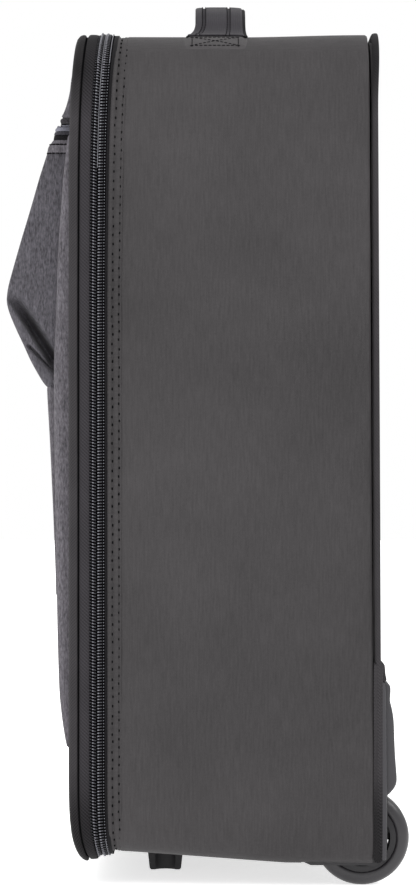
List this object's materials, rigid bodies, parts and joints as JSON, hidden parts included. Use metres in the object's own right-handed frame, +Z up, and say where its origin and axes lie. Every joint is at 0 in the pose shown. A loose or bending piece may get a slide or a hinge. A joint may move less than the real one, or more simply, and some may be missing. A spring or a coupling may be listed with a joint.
{
  "type": "rolling laptop case",
  "caption": "Soft-sided upright rolling case with a front door, laptop compartment, bellows pocket, strap handle, telescopic pull handle, corner wheels and a foot bar.",
  "frame": {"origin": "on the floor, under the middle of the whole object's box", "axes": "+X to the case's right side as worn by its user behind it, +Y to the back (wheels and pull handle), +Z up"},
  "size_m": [0.35, 0.2594, 0.576],
  "materials": {
    "side_polyester": "matte",
    "melange_fabric": "matte",
    "twill_binding": "matte",
    "handle_webbing": "matte",
    "zip_tape": "matte",
    "zip_coil": "satin",
    "lining_fabric": "matte",
    "board_plastic": "matte",
    "black_plastic": "satin",
    "guard_plastic": "satin",
    "rim_plastic": "satin",
    "tyre_rubber": "satin",
    "tube_aluminium": "satin",
    "steel": "satin",
    "slider_metal": "satin",
    "puller_metal": "satin"
  },
  "bodies": {
    "case": {"side_wall_right": "side_polyester", "side_wall_left": "side_polyester", "top_wall": "side_polyester", "base_wall": "side_polyester", "back_panel": "side_polyester", "back_binding": "twill_binding", "seam_strip": "side_polyester", "shell_zip_tape": "zip_tape", "shell_zip_coil": "zip_coil", "lining": "lining_fabric", "base_board": "lining_fabric", "back_board": "board_plastic", "wire_frames": "steel", "hinge_strip": "side_polyester", "carry_handle": "handle_webbing", "handle_cup": "black_plastic", "tube_collars": "black_plastic", "outer_tubes": "tube_aluminium", "bottom_bracket": "black_plastic", "screws": "steel", "wheel_housing_right": "black_plastic", "wheel_housing_left": "black_plastic", "corner_guards": "guard_plastic", "guard_tabs": "twill_binding", "axles": "steel", "foot_bar": "black_plastic"},
    "door": {"door_piping": "twill_binding", "door_side_strip": "twill_binding", "door_zip_tape": "zip_tape", "door_zip_coil": "zip_coil", "door_board": "lining_fabric", "door_wire": "steel", "front_brow": "melange_fabric", "laptop_front": "melange_fabric", "laptop_zip": "zip_tape", "flat_pocket": "melange_fabric", "bellows_pocket": "melange_fabric", "pocket_zip": "zip_tape"},
    "wheel_right": {"tyre_right": "tyre_rubber", "rim_right": "rim_plastic", "bush_right": "steel"},
    "wheel_left": {"tyre_left": "tyre_rubber", "rim_left": "rim_plastic", "bush_left": "steel"},
    "trolley_mid": {"mid_tubes": "tube_aluminium", "mid_collars": "black_plastic"},
    "trolley_grip": {"inner_tubes": "tube_aluminium", "grip": "black_plastic", "button_spring": "steel"},
    "trolley_button": {"grip_button": "guard_plastic"},
    "main_slider_right": {"main_slider_right": "slider_metal"},
    "main_slider_left": {"main_slider_left": "slider_metal"},
    "main_puller_right": {"main_puller_right": "puller_metal"},
    "main_puller_left": {"main_puller_left": "puller_metal"},
    "laptop_slider": {"laptop_slider": "slider_metal"},
    "laptop_puller": {"laptop_puller": "puller_metal"},
    "pocket_slider": {"pocket_slider": "slider_metal"},
    "pocket_puller": {"pocket_puller": "puller_metal"}
  },
  "joints": [
    {"name": "door_hinge", "type": "hinge", "parent": "case", "child": "door", "pos_m": [-0.175, -0.07, 0.28], "axis": [0, 0, -1], "range_deg": [0, 165]},
    {"name": "wheel_spin_right", "type": "hinge", "parent": "case", "child": "wheel_right", "pos_m": [0.151, 0.099, 0.0307], "axis": [1, 0, 0], "continuous": true},
    {"name": "wheel_spin_left", "type": "hinge", "parent": "case", "child": "wheel_left", "pos_m": [-0.151, 0.099, 0.0307], "axis": [1, 0, 0], "continuous": true},
    {"name": "trolley_lower_stage", "type": "slide", "parent": "case", "child": "trolley_mid", "axis": [0, 0, 1], "range_m": [0, 0.23]},
    {"name": "trolley_upper_stage", "type": "slide", "parent": "trolley_mid", "child": "trolley_grip", "axis": [0, 0, 1], "range_m": [0, 0.23]},
    {"name": "grip_button_press", "type": "slide", "parent": "trolley_grip", "child": "trolley_button", "axis": [0, 0, -1], "range_m": [0, 0.003], "stiffness_N_per_m": 600, "deforming": ["button_spring"]},
    {"name": "main_zip_right", "type": "slide", "parent": "case", "child": "main_slider_right", "axis": [1, 0, 0], "range_m": [0, 0.11]},
    {"name": "main_zip_left", "type": "slide", "parent": "case", "child": "main_slider_left", "axis": [-1, 0, 0], "range_m": [0, 0.11]},
    {"name": "main_puller_right_flip", "type": "hinge", "parent": "main_slider_right", "child": "main_puller_right", "pos_m": [0.008, -0.07, 0.5566], "axis": [0, -1, 0], "range_deg": [0, 95]},
    {"name": "main_puller_left_flip", "type": "hinge", "parent": "main_slider_left", "child": "main_puller_left", "pos_m": [-0.008, -0.07, 0.5566], "axis": [0, 1, 0], "range_deg": [0, 95]},
    {"name": "laptop_zip_run", "type": "slide", "parent": "door", "child": "laptop_slider", "axis": [1, 0, 0], "range_m": [0, 0.27]},
    {"name": "laptop_puller_flip", "type": "hinge", "parent": "laptop_slider", "child": "laptop_puller", "pos_m": [-0.142, -0.09957, 0.49522], "axis": [0, -0.5045, -0.8634], "range_deg": [0, 170]},
    {"name": "pocket_zip_run", "type": "slide", "parent": "door", "child": "pocket_slider", "axis": [1, 0, 0], "range_m": [0, 0.26]},
    {"name": "pocket_puller_flip", "type": "hinge", "parent": "pocket_slider", "child": "pocket_puller", "pos_m": [-0.134, -0.10287, 0.48942], "axis": [0, -0.5045, -0.8634], "range_deg": [0, 170]}
  ]
}
